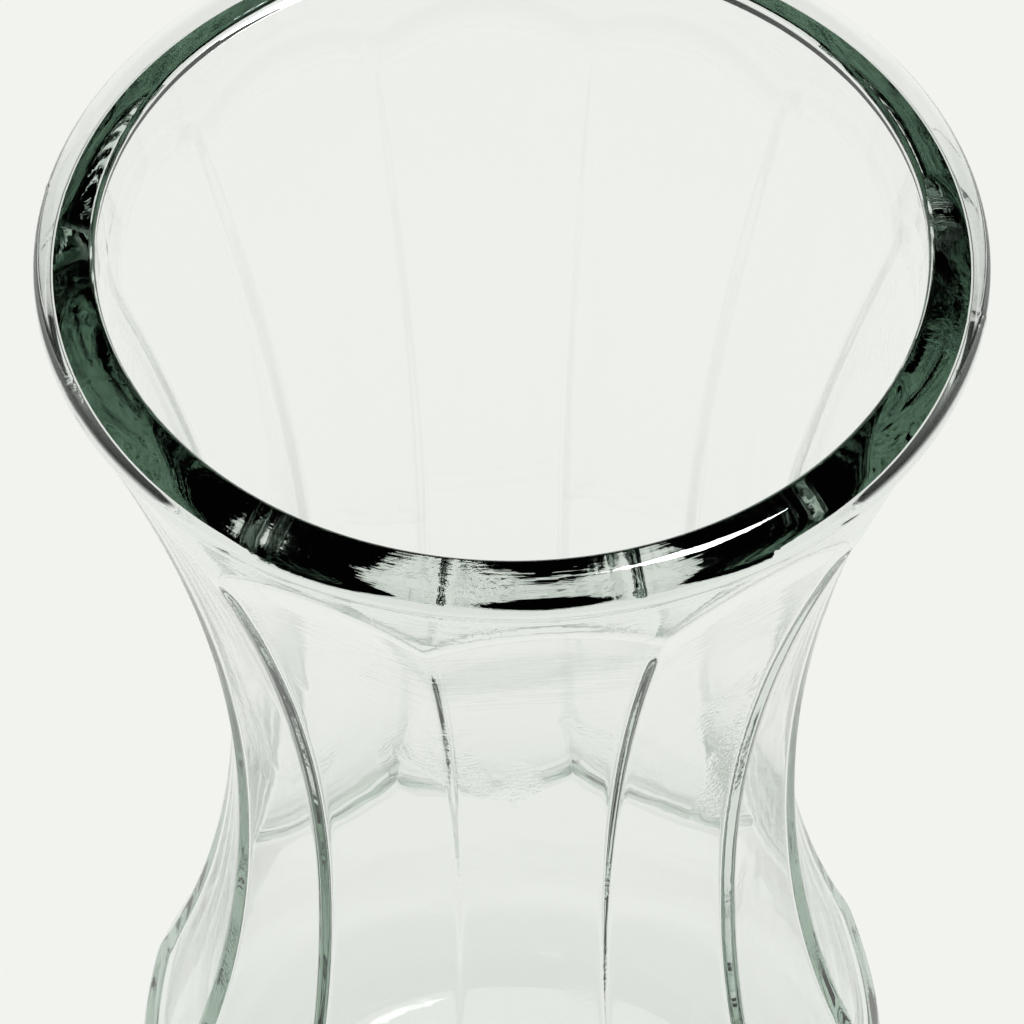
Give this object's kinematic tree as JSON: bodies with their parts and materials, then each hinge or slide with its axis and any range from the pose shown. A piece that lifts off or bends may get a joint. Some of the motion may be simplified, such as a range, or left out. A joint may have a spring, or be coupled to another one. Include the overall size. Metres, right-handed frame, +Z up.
{
  "type": "flared panelled vase",
  "caption": "Clear glass flower vase with a flared mouth, a thick rounded lip, flat panels that end in arches above and below, a narrow waist and a bulb base.",
  "frame": {"origin": "centre of the ring that the vase stands on", "axes": "+Z up along the vase's axis, -Y through the middle of a panel"},
  "size_m": [0.127, 0.127, 0.2224],
  "materials": {
    "clear_glass": "moulded and fire-polished soda-lime glass, faintly green in its thickness"
  },
  "bodies": {
    "root": {"glass_body": "clear_glass"}
  },
  "joints": []
}
